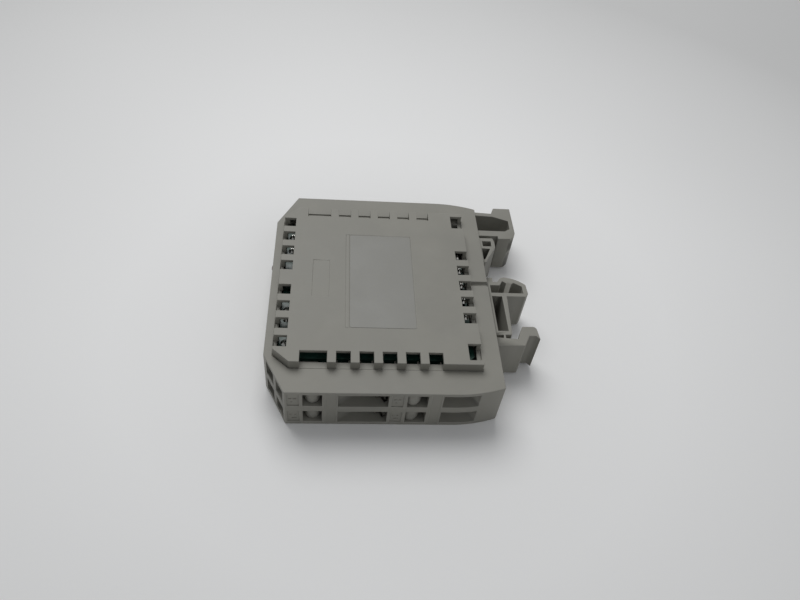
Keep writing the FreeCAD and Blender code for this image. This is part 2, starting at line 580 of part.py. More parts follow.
AXIAL_PARTS = {
    # name: x, y of the first lead, y of the second lead, body radius, body length
    "indicator_resistor": ("4.4", "16.8", "11.9", "0.9", "3"),
    "coil_resistor": ("4.4", "-7.9", "1.3", "1.15", "6.3"),
    "freewheel_diode": ("4.4", "-17.7", "-10.8", "1.3", "4.6"),
    "supply_diode": ("18.5", "-14", "-6", "1.3", "4.6"),
}
CAPACITOR = {"x": "23.5", "y": "6", "radius": "3.15", "height": "7.2", "pitch": "2.5"}
RECTIFIER = {"x": "13", "y": "1", "half_x": "3.2", "half_y": "4.2", "height": "3.2",
             "gap": "0.3", "pin_x": "3.8", "pin_y": "2.54"}


def rectifier_pins():
    spots = []
    for s in (-1, 1):
        for t in (-1, 1):
            spots.append((s, t, f"{RECTIFIER['x']} + {s} * {RECTIFIER['pin_x']}",
                          f"{RECTIFIER['y']} + {t} * {RECTIFIER['pin_y']}"))
    return spots


def board_pins():
    """Every place where a lead or pin comes through the board to its solder joint."""
    pins = [clamp_pin(clamp) for clamp in CLAMPS]
    for x, first, second, _, _ in AXIAL_PARTS.values():
        pins += [(x, first), (x, second)]
    pins += [("pin_x", f"pin_first + {k} * pin_step") for k in range(5)]
    pins += [("light_bend", f"light_y + {s} * light_pitch") for s in (-1, 1)]
    pins += [(CAPACITOR["x"], f"{CAPACITOR['y']} + {s} * {CAPACITOR['pitch']} / 2") for s in (-1, 1)]
    pins += [(x, y) for _, _, x, y in rectifier_pins()]
    return pins


def circuit_board():
    top = "board_low + board_thickness"
    corners = []
    for s, t in ((-1, -1), (1, -1), (1, 1), (-1, 1)):
        edge = "board_left" if s < 0 else "board_right"
        cut_x = (f"{edge} - {s} * board_corner", f"{t} * board_half")
        cut_y = (edge, f"{t} * (board_half - board_corner)")
        corners += [cut_y, cut_x] if s * t > 0 else [cut_x, cut_y]
    blank = prism("board_blank", corners, "board_low", top)
    holes, cones = [], []
    for k, (x, y) in enumerate(board_pins()):
        holes.append(rod(f"pin_hole_{k}", (x, y, "board_low - over"), "z", "pin_hole",
                         "board_thickness + 2 * over"))
        cone = doc.addObject("Part::Cone", f"solder_{k}")
        bind(cone, "Radius1", "solder_radius")
        bind(cone, "Radius2", "solder_top")
        bind(cone, "Height", "solder_height")
        for letter, place in zip("xyz", (x, y, top)):
            bind(cone, f"Placement.Base.{letter}", place)
        cones.append(cone)
    subpart("circuit_board", cut("board_drilled", blank, fuse("board_holes", holes)))
    subpart("solder_joints", group("solder_group", cones))


def lead(name, x, y, low):
    """Square lead from a height up to the board's top face."""
    return box(name, (f"{x} - lead_half", f"{y} - lead_half", low),
               (f"{x} + lead_half", f"{y} + lead_half", "board_low + board_thickness"))


def axial_parts():
    """Resistors and diodes that lie along Y under the board."""
    for name, (x, first, second, radius, length) in AXIAL_PARTS.items():
        z = f"board_low - {radius} - stand_off"
        middle = f"({first} + {second}) / 2"
        low, high = (first, second) if float(first) < float(second) else (second, first)
        pieces = [rod(f"{name}_can", (x, f"{middle} - {length} / 2", z), "y", radius, length),
                  rod(f"{name}_wire", (x, low, z), "y", "lead_half", f"{high} - ({low})")]
        for end, y in (("a", first), ("b", second)):
            pieces.append(lead(f"{name}_lead_{end}", x, y, f"{z} - lead_half"))
        subpart(name, fuse(f"{name}_whole", pieces))


def capacitor():
    c = CAPACITOR
    pieces = [rod("capacitor_can", (c["x"], c["y"], f"board_low - stand_off - {c['height']}"), "z",
                  c["radius"], c["height"])]
    for s in (-1, 1):
        pieces.append(lead(f"capacitor_lead_{s}", c["x"], f"{c['y']} + {s} * {c['pitch']} / 2",
                           "board_low - 2 * stand_off"))
    subpart("smoothing_capacitor", fuse("capacitor_whole", pieces))


def rectifier():
    r = RECTIFIER
    top = f"board_low - {r['gap']}"
    pieces = [box("rectifier_block",
                  (f"{r['x']} - {r['half_x']}", f"{r['y']} - {r['half_y']}", f"{top} - {r['height']}"),
                  (f"{r['x']} + {r['half_x']}", f"{r['y']} + {r['half_y']}", top))]
    for s, t, x, y in rectifier_pins():
        pieces.append(lead(f"rectifier_lead_{s}_{t}", x, y, "board_low - foot_drop"))
        reach = span(s, f"{r['half_x']} - overlap", f"{r['pin_x']} - overlap")
        pieces.append(box(f"rectifier_foot_{s}_{t}",
                          (f"{r['x']} + {reach[0]}", f"{y} - lead_half", "board_low - foot_drop"),
                          (f"{r['x']} + {reach[1]}", f"{y} + lead_half",
                           "board_low - foot_drop + foot_thickness")))
    subpart("bridge_rectifier", fuse("rectifier_whole", pieces))


def status_light():
    centre = ("light_radius - light_out", "light_y", "light_z")
    dome = doc.addObject("Part::Sphere", "light_dome")
    bind(dome, "Radius", "light_radius")
    for letter, place in zip("xyz", centre):
        bind(dome, f"Placement.Base.{letter}", place)
    barrel = rod("light_barrel", centre, "x", "light_radius", "light_back - light_radius + light_out")
    collar = rod("light_collar", ("light_back - collar_length", "light_y", "light_z"), "x",
                 "light_radius + light_collar", "collar_length")
    pieces = [dome, barrel, collar]
    for s in (-1, 1):
        y = f"light_y + {s} * light_pitch"
        pieces.append(box(f"light_wire_{s}",
                          ("light_back - overlap", f"{y} - wire_half", "light_z - wire_half"),
                          ("light_bend + wire_half", f"{y} + wire_half", "light_z + wire_half")))
        pieces.append(box(f"light_lead_{s}", ("light_bend - wire_half", f"{y} - wire_half", "light_z"),
                          ("light_bend + wire_half", f"{y} + wire_half", "board_low + board_thickness")))
    subpart("status_light", fuse("light_whole", pieces))


def relay_pin(name, k, low):
    y = f"pin_first + {k} * pin_step"
    return box(name, ("pin_x - pin_half", f"{y} - lead_half", low),
               ("pin_x + pin_half", f"{y} + lead_half", "board_low + board_thickness"))


def relay_case():
    shell = box("case_block", ("relay_left", "relay_front", "relay_low"),
                ("relay_right", "relay_back", "relay_high"))
    inner = box("case_hollow",
                ("relay_left + case_wall", "relay_front + case_wall", "relay_low + case_wall"),
                ("relay_right - case_wall", "relay_back - case_wall", "relay_high + over"))
    subpart("relay_case", cut("case_open", shell, inner))
    base = box("base_block", ("relay_left", "relay_front", "relay_high"),
               ("relay_right", "relay_back", "base_high"))
    holes = []
    for k in range(5):
        holes.append(rod(f"base_hole_{k}", ("pin_x", f"pin_first + {k} * pin_step", "relay_high - over"),
                         "z", "pin_hole", "base_high - relay_high + 2 * over"))
    subpart("relay_base", cut("base_drilled", base, fuse("base_holes", holes)))
    pair = [relay_pin(f"coil_pin_{k}", k, "coil_z") for k in (0, 1)]
    subpart("coil_terminals", group("coil_pin_pair", pair))


def coil():
    """Bobbin, winding and core with its pole face, along Y."""
    length = "coil_back - coil_front"
    pieces = [rod("bobbin_tube", ("coil_x", "coil_front", "coil_z"), "y", "tube_radius", length)]
    for k, y in enumerate(("coil_front", "coil_back - flange_thickness")):
        pieces.append(rod(f"bobbin_flange_{k}", ("coil_x", y, "coil_z"), "y", "flange_radius",
                          "flange_thickness"))
    bore = rod("bobbin_bore", ("coil_x", "coil_front - over", "coil_z"), "y",
               "core_radius + core_fit", f"{length} + 2 * over")
    subpart("coil_bobbin", cut("bobbin_bored", fuse("bobbin_blank", pieces), bore))
    wound = rod("winding_outer", ("coil_x", "coil_front + flange_thickness + coil_fit", "coil_z"), "y",
                "winding_radius", f"{length} - 2 * (flange_thickness + coil_fit)")
    wound_bore = rod("winding_bore", ("coil_x", "coil_front", "coil_z"), "y",
                     "tube_radius + core_fit", length)
    subpart("coil_winding", cut("winding_open", wound, wound_bore))
    core = rod("core_rod", ("coil_x", "coil_front - 2 * overlap", "coil_z"), "y", "core_radius",
               f"{length} + 3 * overlap")
    pole = rod("core_pole", ("coil_x", "coil_back + coil_fit", "coil_z"), "y", "pole_radius",
               "pole_thickness")
    subpart("relay_core", fuse("core_whole", [core, pole]))


def magnet_frame():
    """L-shaped yoke behind the coil, the armature that tips on its end and the return spring."""
    z = ("coil_z - iron_half", "coil_z + iron_half")
    low = "coil_front - yoke_drop"
    back = box("yoke_back", ("yoke_x", low, z[0]),
               ("yoke_x + yoke_thickness", "armature_y - armature_gap", z[1]))
    foot = box("yoke_foot", ("coil_x - yoke_foot", low, z[0]),
               ("yoke_x + overlap", f"{low} + yoke_thickness", z[1]))
    subpart("relay_yoke", fuse("yoke_whole", [back, foot]))
    plate = box("armature_plate", ("armature_left", "armature_y", z[0]),
                ("armature_right", "armature_y + armature_thickness", z[1]))
    subpart("armature", group("armature_whole", [plate]))
    strip = box("return_strip", ("yoke_x + yoke_thickness + coil_fit", "strip_start", "coil_z - 1"),
                ("yoke_x + yoke_thickness + coil_fit + strip_thickness", "strip_end", "coil_z + 1"))
    subpart("return_spring", group("return_whole", [strip]))


def driver_card():
    """Plastic card that carries the armature's movement to the moving blade."""
    z = ("coil_z - card_half", "coil_z + card_half")
    start = "card_spine - overlap"
    pieces = [
        box("card_back", ("card_left", "card_low", z[0]), ("card_spine", "card_high", z[1])),
        box("card_claw", (start, "card_low", z[0]), ("card_hook", "armature_y - armature_gap", z[1])),
        box("card_push", (start, "armature_y + armature_thickness + 0.1", z[0]),
            ("card_arm", "spring_y - 0.1", z[1])),
        box("card_fork", (start, "spring_y + spring_thickness + 0.12", z[0]),
            ("card_arm", "card_high", z[1])),
    ]
    subpart("driver_card", fuse("card_whole", pieces))


def contacts():
    """Change-over contact set: the moving blade and the two fixed contacts."""
    z = ("coil_z - contact_half", "coil_z + contact_half")
    right = "pin_x + pin_half"
    post_top = "relay_high - 0.3"
    pin_low = "relay_high - over"
    blade = box("blade", ("spring_tip", "spring_y", "coil_z - blade_half"),
                ("pin_x + 0.3", "spring_y + spring_thickness", "coil_z + blade_half"))
    button = rod("moving_button", ("rivet_x", "spring_y - rivet_rise", "coil_z"), "y",
                 "rivet_radius", "2 * rivet_rise + spring_thickness")
    subpart("contact_blade", fuse("blade_whole", [blade, button]))
    post = box("common_post", ("pin_x - pin_half", "spring_y - 1.6", "coil_z - blade_half"),
               (right, "spring_y - 0.1", post_top))
    subpart("common_terminal", fuse("common_whole", [post, relay_pin("common_pin", 3, pin_low)]))

    plate = box("rest_plate", ("contact_left", "rest_y", z[0]), (right, "rest_y + contact_thickness", z[1]))
    button = rod("rest_button", ("rivet_x", "rest_y - 0.5", "coil_z"), "y", "rivet_radius", "rivet_height")
    post = box("rest_arm", ("pin_x - pin_half", "rest_y", z[0]), (right, "rest_post", post_top))
    pieces = [plate, button, post, relay_pin("rest_pin", 4, pin_low)]
    subpart("rest_contact", fuse("rest_whole", pieces))

    plate = box("work_plate", ("contact_left", "work_y", z[0]),
                ("work_right", "work_y + contact_thickness", z[1]))
    button = rod("work_button", ("rivet_x", "work_y + 0.3", "coil_z"), "y", "rivet_radius", "rivet_height")
    riser = box("work_riser", ("work_right - contact_thickness", "work_low", z[0]),
                ("work_right", "work_y + contact_thickness", z[1]))
    foot = box("work_arm", ("work_right - contact_thickness", "work_low", "coil_z"),
               (right, "work_low + work_foot", post_top))
    pieces = [plate, button, riser, foot, relay_pin("work_pin", 2, pin_low)]
    subpart("work_contact", fuse("work_whole", pieces))


housing()
rail_latch()
side_cover()
for clamp in CLAMPS:
    clamp_screw(clamp)
    clamp_cage(clamp)
    clamp_bar(clamp)
circuit_board()
axial_parts()
capacitor()
rectifier()
status_light()
relay_case()
coil()
magnet_frame()
driver_card()
contacts()
doc.recompute()

for item in doc.Objects:
    if "Invalid" in item.State or "Error" in item.State:
        raise RuntimeError(f"{item.Label} did not build: {item.State}")
os.makedirs("parts", exist_ok=True)
for label, item in SUBPARTS.items():
    if item.Shape.isNull() or not item.Shape.isValid():
        raise RuntimeError(f"{label} has no valid shape")
    item.Shape.exportStep(f"parts/{label}.step")
    print(f"{label}: {len(item.Shape.Solids)} solids, {item.Shape.Volume:.2f} mm3")
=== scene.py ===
import json
import math
import bmesh
import bpy
import numpy as np
from mathutils import Matrix, Vector

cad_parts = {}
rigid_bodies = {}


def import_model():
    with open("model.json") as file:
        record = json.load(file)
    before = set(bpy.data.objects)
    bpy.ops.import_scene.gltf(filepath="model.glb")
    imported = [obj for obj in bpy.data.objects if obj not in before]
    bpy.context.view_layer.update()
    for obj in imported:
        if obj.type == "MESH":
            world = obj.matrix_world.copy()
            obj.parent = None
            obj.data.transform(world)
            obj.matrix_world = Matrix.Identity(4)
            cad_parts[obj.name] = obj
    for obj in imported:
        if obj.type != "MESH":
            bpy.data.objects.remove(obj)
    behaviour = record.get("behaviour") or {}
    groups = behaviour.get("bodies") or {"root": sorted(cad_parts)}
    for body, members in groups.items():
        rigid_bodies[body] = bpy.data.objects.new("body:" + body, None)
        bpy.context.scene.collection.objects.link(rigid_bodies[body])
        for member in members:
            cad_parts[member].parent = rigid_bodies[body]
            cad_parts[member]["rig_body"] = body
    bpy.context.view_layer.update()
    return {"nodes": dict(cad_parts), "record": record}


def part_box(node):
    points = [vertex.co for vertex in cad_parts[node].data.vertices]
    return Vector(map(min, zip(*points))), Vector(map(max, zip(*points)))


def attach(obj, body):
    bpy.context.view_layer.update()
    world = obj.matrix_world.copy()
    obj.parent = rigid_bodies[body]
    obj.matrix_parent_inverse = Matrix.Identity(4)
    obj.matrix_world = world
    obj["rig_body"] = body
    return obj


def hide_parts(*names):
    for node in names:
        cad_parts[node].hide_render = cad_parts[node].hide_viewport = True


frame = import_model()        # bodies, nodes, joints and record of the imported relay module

mm = 0.001
cadNodes = frame["nodes"]
record = frame["record"]
nodeSlots = {part["node"]: part["material_slot"] for part in record["subparts"]}
frontOffset = 31.8     # mm from the module's front face back to the row frame's x = 0
halfHeight = 31.75     # mm from the middle of the module to its long faces
print("relay module:", len(cadNodes), "nodes from the frame")


# camera, floor and lights

cameraView = {"spot": (-0.01705, -0.11396, 0.13489), "yaw": 8.516, "pitch": 47.929,
              "roll": 7.891, "lens": 30.74, "sensor": 36.0}
# the floor's far colour is a painted shade for the falloff of the lamps
studio = {"floorSize": 3.0, "floorCloud": 2.4, "floorNear": (0.87, 0.87, 0.865),
          "floorFarShaded": (0.60, 0.60, 0.595), "fadeStart": 0.07, "fadeEnd": 0.22,
          "worldColour": (0.95, 0.97, 1.0), "worldStrength": 0.30,
          "softboxSpot": (-0.12, 0.36, 0.60), "softboxSize": 0.55, "softboxWatts": 2.85,
          "fillSpot": (0.55, -0.55, 0.60), "fillSize": 0.9, "fillWatts": 0.7}


def placeCamera(v):
    # yaw turns right from +Y, pitch looks down, roll leans the picture to the right
    yaw, pitch, roll = (math.radians(v[k]) for k in ("yaw", "pitch", "roll"))
    forward = Vector((math.sin(yaw) * math.cos(pitch), math.cos(yaw) * math.cos(pitch), -math.sin(pitch)))
    level = Vector((math.cos(yaw), -math.sin(yaw), 0.0))
    upright = level.cross(forward)
    right = level * math.cos(roll) + upright * math.sin(roll)
    up = upright * math.cos(roll) - level * math.sin(roll)
    data = bpy.data.cameras.new("tableCamera")
    data.lens = v["lens"]
    data.sensor_width = v["sensor"]
    data.clip_start, data.clip_end = 0.01, 10.0
    camera = bpy.data.objects.new("tableCamera", data)
    turn = Matrix((right, up, -forward)).transposed().to_4x4()
    camera.matrix_world = Matrix.Translation(v["spot"]) @ turn
    bpy.context.scene.collection.objects.link(camera)
    bpy.context.scene.camera = camera


def addSoftbox(name, spot, size, watts, target=(0.0, 0.0, 0.0)):
    data = bpy.data.lights.new(name, "AREA")
    data.shape = "DISK"
    data.size = size
    data.energy = watts
    lamp = bpy.data.objects.new(name, data)
    lamp.location = spot
    lamp.rotation_euler = (Vector(target) - Vector(spot)).to_track_quat("-Z", "Y").to_euler()
    bpy.context.scene.collection.objects.link(lamp)


def wire(tree, value, socket):
    # links an output, or sets a plain number or colour
    if isinstance(value, tuple):
        socket.default_value = (*value, 1.0) if len(value) == 3 else value
    elif isinstance(value, (int, float)):
        socket.default_value = value
    else:
        tree.links.new(value, socket)


def newMaterial(name):
    material = bpy.data.materials.new(name)
    material.use_nodes = True
    tree = material.node_tree
    place = tree.nodes.new("ShaderNodeTexCoord")
    return material, tree, tree.nodes["Principled BSDF"], place.outputs["Object"]


def noise(tree, vector, scale, detail=2.0, rough=0.5):
    node = tree.nodes.new("ShaderNodeTexNoise")
    for key, value in (("Vector", vector), ("Scale", scale), ("Detail", detail), ("Roughness", rough)):
        wire(tree, value, node.inputs[key])
    return node.outputs["Fac"]


def ramp(tree, value, low, high, first=0.0, last=1.0):
    # maps low..high to first..last and clamps outside
    node = tree.nodes.new("ShaderNodeMapRange")
    for key, number in zip(("Value", "From Min", "From Max", "To Min", "To Max"),
                           (value, low, high, first, last)):
        wire(tree, number, node.inputs[key])
    return node.outputs["Result"]


def blendColour(tree, amount, first, second):
    node = tree.nodes.new("ShaderNodeMix")
    node.data_type = "RGBA"
    colours = [socket for socket in node.inputs if socket.type == "RGBA"]
    wire(tree, amount, node.inputs["Factor"])
    wire(tree, first, colours[0])
    wire(tree, second, colours[1])
    return next(socket for socket in node.outputs if socket.type == "RGBA")


def combine(tree, kind, first, second):
    # adds, multiplies or otherwise joins two values, as the kind says
    node = tree.nodes.new("ShaderNodeMath")
    node.operation = kind
    wire(tree, first, node.inputs[0])
    wire(tree, second, node.inputs[1])
    return node.outputs[0]


def attribute(tree, name):
    node = tree.nodes.new("ShaderNodeAttribute")
    node.attribute_name = name
    return node.outputs["Fac"]


# shader groups that several materials share

def newGroup(name, inputs, output, kind):
    tree = bpy.data.node_groups.new(name, "ShaderNodeTree")
    for socket, socketKind in inputs:
        tree.interface.new_socket(socket, in_out="INPUT", socket_type=socketKind)
    tree.interface.new_socket(output, in_out="OUTPUT", socket_type=kind)
    return tree, tree.nodes.new("NodeGroupInput").outputs, tree.nodes.new("NodeGroupOutput").inputs[output]


def useGroup(tree, group, **values):
    node = tree.nodes.new("ShaderNodeGroup")
    node.node_tree = group
    for key, value in values.items():
        wire(tree, value, node.inputs[key])
    return node.outputs[0]


def softCloudGroup():
    inputs = (("Vector", "NodeSocketVector"), ("Scale", "NodeSocketFloat"))
    tree, given, result = newGroup("softCloud", inputs, "Value", "NodeSocketFloat")
    wire(tree, ramp(tree, noise(tree, given["Vector"], given["Scale"], 3.0, 0.6), 0.35, 0.65), result)
    return tree


def fineGrainGroup():
    inputs = (("Vector", "NodeSocketVector"), ("Scale", "NodeSocketFloat"),
              ("Strength", "NodeSocketFloat"), ("Distance", "NodeSocketFloat"))
    tree, given, result = newGroup("fineGrain", inputs, "Normal", "NodeSocketVector")
    node = tree.nodes.new("ShaderNodeBump")
    for key in ("Strength", "Distance"):
        wire(tree, given[key], node.inputs[key])
    wire(tree, noise(tree, given["Vector"], given["Scale"], 2.0, 0.6), node.inputs["Height"])
    wire(tree, node.outputs["Normal"], result)
    return tree


def edgeHighlightGroup():
    # rounded edges carry the value "edge", and a painted highlight, a lighter colour that comes and goes in
    # patches, is laid on them
    inputs = (("Vector", "NodeSocketVector"), ("Amount", "NodeSocketFloat"))
    tree, given, result = newGroup("edgeHighlight", inputs, "Mask", "NodeSocketFloat")
    patch = ramp(tree, noise(tree, given["Vector"], 260.0), 0.3, 0.7, 0.45, 1.0)
    highlightedEdge = combine(tree, "MULTIPLY", attribute(tree, "edge"), patch)
    wire(tree, combine(tree, "MULTIPLY", highlightedEdge, given["Amount"]), result)
    return tree


def settledDustGroup():
    # dust lies on faces that look up, in soft patches with a few specks
    inputs = (("Vector", "NodeSocketVector"), ("Amount", "NodeSocketFloat"))
    tree, given, result = newGroup("settledDust", inputs, "Mask", "NodeSocketFloat")
    split = tree.nodes.new("ShaderNodeSeparateXYZ")
    wire(tree, tree.nodes.new("ShaderNodeNewGeometry").outputs["Normal"], split.inputs[0])
    upward = ramp(tree, split.outputs["Z"], 0.6, 0.95)
    patch = ramp(tree, noise(tree, given["Vector"], 120.0, 4.0, 0.7), 0.45, 0.75, 0.15, 0.7)
    specks = ramp(tree, noise(tree, given["Vector"], 2600.0, 1.0), 0.74, 0.80)
    cover = combine(tree, "MAXIMUM", patch, specks)
    settled = combine(tree, "MULTIPLY", upward, cover)
    wire(tree, combine(tree, "MULTIPLY", settled, given["Amount"]), result)
    return tree


softCloud = softCloudGroup()
fineGrain = fineGrainGroup()
edgeHighlight = edgeHighlightGroup()
settledDust = settledDustGroup()
dustColour = (0.46, 0.45, 0.42)


def layFloor(v):
    size = v["floorSize"] / 2
    mesh = bpy.data.meshes.new("paperFloor")
    corners = [(-size, -size, 0), (size, -size, 0), (size, size, 0), (-size, size, 0)]
    mesh.from_pydata(corners, [], [(0, 1, 2, 3)])
    floor = bpy.data.objects.new("paperFloor", mesh)
    bpy.context.scene.collection.objects.link(floor)
    material, tree, shader, place = newMaterial("palePaper")
    away = tree.nodes.new("ShaderNodeVectorMath")
    away.operation = "LENGTH"
    wire(tree, place, away.inputs[0])
    # painted shade: the paper darkens from its near colour to the far colour with distance from the middle,
    # standing in for the falloff of the lamps; the cloud is the paper's own uneven tone
    paintedFalloff = ramp(tree, away.outputs["Value"], v["fadeStart"], v["fadeEnd"])
    cloud = ramp(tree, useGroup(tree, softCloud, Vector=place, Scale=v["floorCloud"]), 0.0, 1.0, -0.08, 0.08)
    colour = blendColour(tree, combine(tree, "ADD", paintedFalloff, cloud), v["floorNear"], v["floorFarShaded"])
    wire(tree, colour, shader.inputs["Base Color"])
    shader.inputs["Roughness"].default_value = 0.75
    shader.inputs["Specular IOR Level"].default_value = 0.2
    grain = useGroup(tree, fineGrain, Vector=place, Scale=900.0, Strength=0.05, Distance=0.0004)
    wire(tree, grain, shader.inputs["Normal"])
    mesh.materials.append(material)


def lightStudio(v):
    world = bpy.data.worlds.new("studioAir")
    world.use_nodes = True
    back = world.node_tree.nodes["Background"]
    back.inputs["Color"].default_value = (*v["worldColour"], 1.0)
    back.inputs["Strength"].default_value = v["worldStrength"]
    bpy.context.scene.world = world
    bpy.context.scene.view_settings.view_transform = "Standard"
    addSoftbox("overheadSoftbox", v["softboxSpot"], v["softboxSize"], v["softboxWatts"])
    addSoftbox("frontFill", v["fillSpot"], v["fillSize"], v["fillWatts"])


placeCamera(cameraView)
layFloor(studio)
lightStudio(studio)
print("camera, floor and lights are set")


# materials, one dictionary row for each slot of the record

# in each row, the lighter edge colour and its amount make a painted highlight on rounded edges
finishes = {
    "grey_housing_plastic": {"colour": (0.250, 0.243, 0.212), "shade": (0.218, 0.213, 0.186), "rough": 0.52,
                             "edgeHighlightColour": (0.36, 0.352, 0.318), "edgeHighlightAmount": 0.7, "dust": 0.10, "cloud": 55.0,
                             "grain": 5200.0, "depth": 0.06, "shine": 0.42},
    "nickel_screw": {"colour": (0.50, 0.48, 0.44), "shade": (0.36, 0.34, 0.30), "rough": 0.30, "metal": 1.0,
                     "edgeHighlightColour": (0.7, 0.68, 0.64), "edgeHighlightAmount": 0.6, "cloud": 420.0, "grain": 9000.0, "depth": 0.02},
    "zinc_steel": {"colour": (0.255, 0.25, 0.222), "shade": (0.21, 0.205, 0.18), "rough": 0.5, "metal": 0.35,
                   "edgeHighlightColour": (0.45, 0.44, 0.40), "edgeHighlightAmount": 0.5, "cloud": 300.0, "grain": 6000.0, "depth": 0.03},
    "tinned_brass": {"colour": (0.58, 0.55, 0.47), "shade": (0.40, 0.36, 0.26), "rough": 0.34, "metal": 0.9,
                     "edgeHighlightColour": (0.7, 0.6, 0.36), "edgeHighlightAmount": 0.7, "cloud": 260.0, "grain": 6000.0, "depth": 0.02},
    # painted shade: the board's dark mask green is darkened further, standing in for the shade in the notches
    # it is seen through
    "green_board": {"colour": (0.017, 0.062, 0.047), "shade": (0.010, 0.038, 0.029), "rough": 0.34,
                    "edgeHighlightColour": (0.05, 0.06, 0.03), "edgeHighlightAmount": 0.8, "dust": 0.03, "cloud": 700.0, "grain": 3000.0,
                    "depth": 0.02, "shine": 0.5},
    "solder": {"colour": (0.62, 0.61, 0.58), "shade": (0.42, 0.41, 0.38), "rough": 0.24, "metal": 1.0,
               "cloud": 900.0, "grain": 4000.0, "depth": 0.03},
    "moulded_epoxy": {"colour": (0.022, 0.022, 0.023), "shade": (0.015, 0.015, 0.016), "rough": 0.48,
                      "edgeHighlightColour": (0.07, 0.07, 0.07), "edgeHighlightAmount": 0.6, "cloud": 200.0, "grain": 5000.0, "depth": 0.04},
    "capacitor_sleeve": {"colour": (0.018, 0.022, 0.038), "shade": (0.012, 0.015, 0.028), "rough": 0.26,
                         "cloud": 240.0, "grain": 2500.0, "depth": 0.02, "shine": 0.6},
    "red_lens": {"colour": (0.16, 0.022, 0.016), "shade": (0.10, 0.014, 0.010), "rough": 0.22,
                 "cloud": 300.0, "grain": 4000.0, "depth": 0.01, "shine": 0.6, "clear": 0.35},
    "relay_cover_plastic": {"colour": (0.030, 0.030, 0.034), "shade": (0.022, 0.022, 0.025), "rough": 0.42,
                            "edgeHighlightColour": (0.09, 0.09, 0.09), "edgeHighlightAmount": 0.5, "cloud": 160.0, "grain": 4200.0,
                            "depth": 0.04},
    "relay_base_plastic": {"colour": (0.040, 0.039, 0.038), "shade": (0.028, 0.028, 0.027), "rough": 0.5,
                           "edgeHighlightColour": (0.1, 0.1, 0.1), "edgeHighlightAmount": 0.5, "cloud": 160.0, "grain": 4200.0,
                           "depth": 0.04},
    "bobbin_plastic": {"colour": (0.55, 0.51, 0.40), "shade": (0.47, 0.43, 0.33), "rough": 0.45,
                       "cloud": 180.0, "grain": 4000.0, "depth": 0.03},
    "copper_winding": {"colour": (0.50, 0.19, 0.075), "shade": (0.34, 0.12, 0.05), "rough": 0.3, "metal": 0.9,
                       "cloud": 300.0, "grain": 4000.0, "depth": 0.02},
    "soft_iron": {"colour": (0.42, 0.42, 0.41), "shade": (0.30, 0.30, 0.29), "rough": 0.4, "metal": 1.0,
                  "edgeHighlightColour": (0.6, 0.6, 0.58), "edgeHighlightAmount": 0.5, "cloud": 240.0, "grain": 5000.0, "depth": 0.03},
    "spring_steel": {"colour": (0.46, 0.46, 0.48), "shade": (0.34, 0.34, 0.36), "rough": 0.28, "metal": 1.0,
                     "cloud": 300.0, "grain": 6000.0, "depth": 0.02},
    "card_plastic": {"colour": (0.60, 0.56, 0.46), "shade": (0.52, 0.48, 0.39), "rough": 0.45,
                     "cloud": 200.0, "grain": 4000.0, "depth": 0.03},
    "contact_bronze": {"colour": (0.55, 0.33, 0.15), "shade": (0.42, 0.24, 0.10), "rough": 0.32, "metal": 1.0,
                       "edgeHighlightColour": (0.7, 0.5, 0.3), "edgeHighlightAmount": 0.4, "cloud": 300.0, "grain": 6000.0, "depth": 0.02},
    "label_paper": {"colour": (0.228, 0.225, 0.204), "shade": (0.214, 0.212, 0.192), "rough": 0.46,
                    "dust": 0.08, "cloud": 70.0, "grain": 3800.0, "depth": 0.03, "shine": 0.45},
}
bands = {
    "resistor_body": {"colour": (0.46, 0.36, 0.20), "rough": 0.35,
                      "rings": ((0.14, 0.10, (0.32, 0.12, 0.02)), (0.34, 0.08, (0.02, 0.02, 0.02)),
                                (0.52, 0.08, (0.30, 0.02, 0.02)), (0.80, 0.07, (0.42, 0.28, 0.06)))},
    "diode_body": {"colour": (0.018, 0.018, 0.018), "rough": 0.28,
                   "rings": ((0.74, 0.14, (0.48, 0.48, 0.47)),)},
}


def slotMaterial(name, v):
    material, tree, shader, place = newMaterial(name)
    cloud = useGroup(tree, softCloud, Vector=place, Scale=v["cloud"])
    colour = blendColour(tree, cloud, v["shade"], v["colour"])
    # painted highlight: the rounded edges get a lighter colour, as if light caught them
    if "edgeHighlightAmount" in v:
        highlightedEdge = useGroup(tree, edgeHighlight, Vector=place, Amount=v["edgeHighlightAmount"])
        colour = blendColour(tree, highlightedEdge, colour, v["edgeHighlightColour"])
    if "dust" in v:
        dusty = useGroup(tree, settledDust, Vector=place, Amount=v["dust"])
        colour = blendColour(tree, dusty, colour, dustColour)
    wire(tree, colour, shader.inputs["Base Color"])
    wire(tree, ramp(tree, cloud, 0.0, 1.0, v["rough"] - 0.05, v["rough"] + 0.06), shader.inputs["Roughness"])
    shader.inputs["Metallic"].default_value = v.get("metal", 0.0)
    shader.inputs["Specular IOR Level"].default_value = v.get("shine", 0.5)
    shader.inputs["Transmission Weight"].default_value = v.get("clear", 0.0)
    grain = useGroup(tree, fineGrain, Vector=place, Scale=v["grain"], Strength=0.25, Distance=v["depth"] * mm)
    wire(tree, grain, shader.inputs["Normal"])
    return material


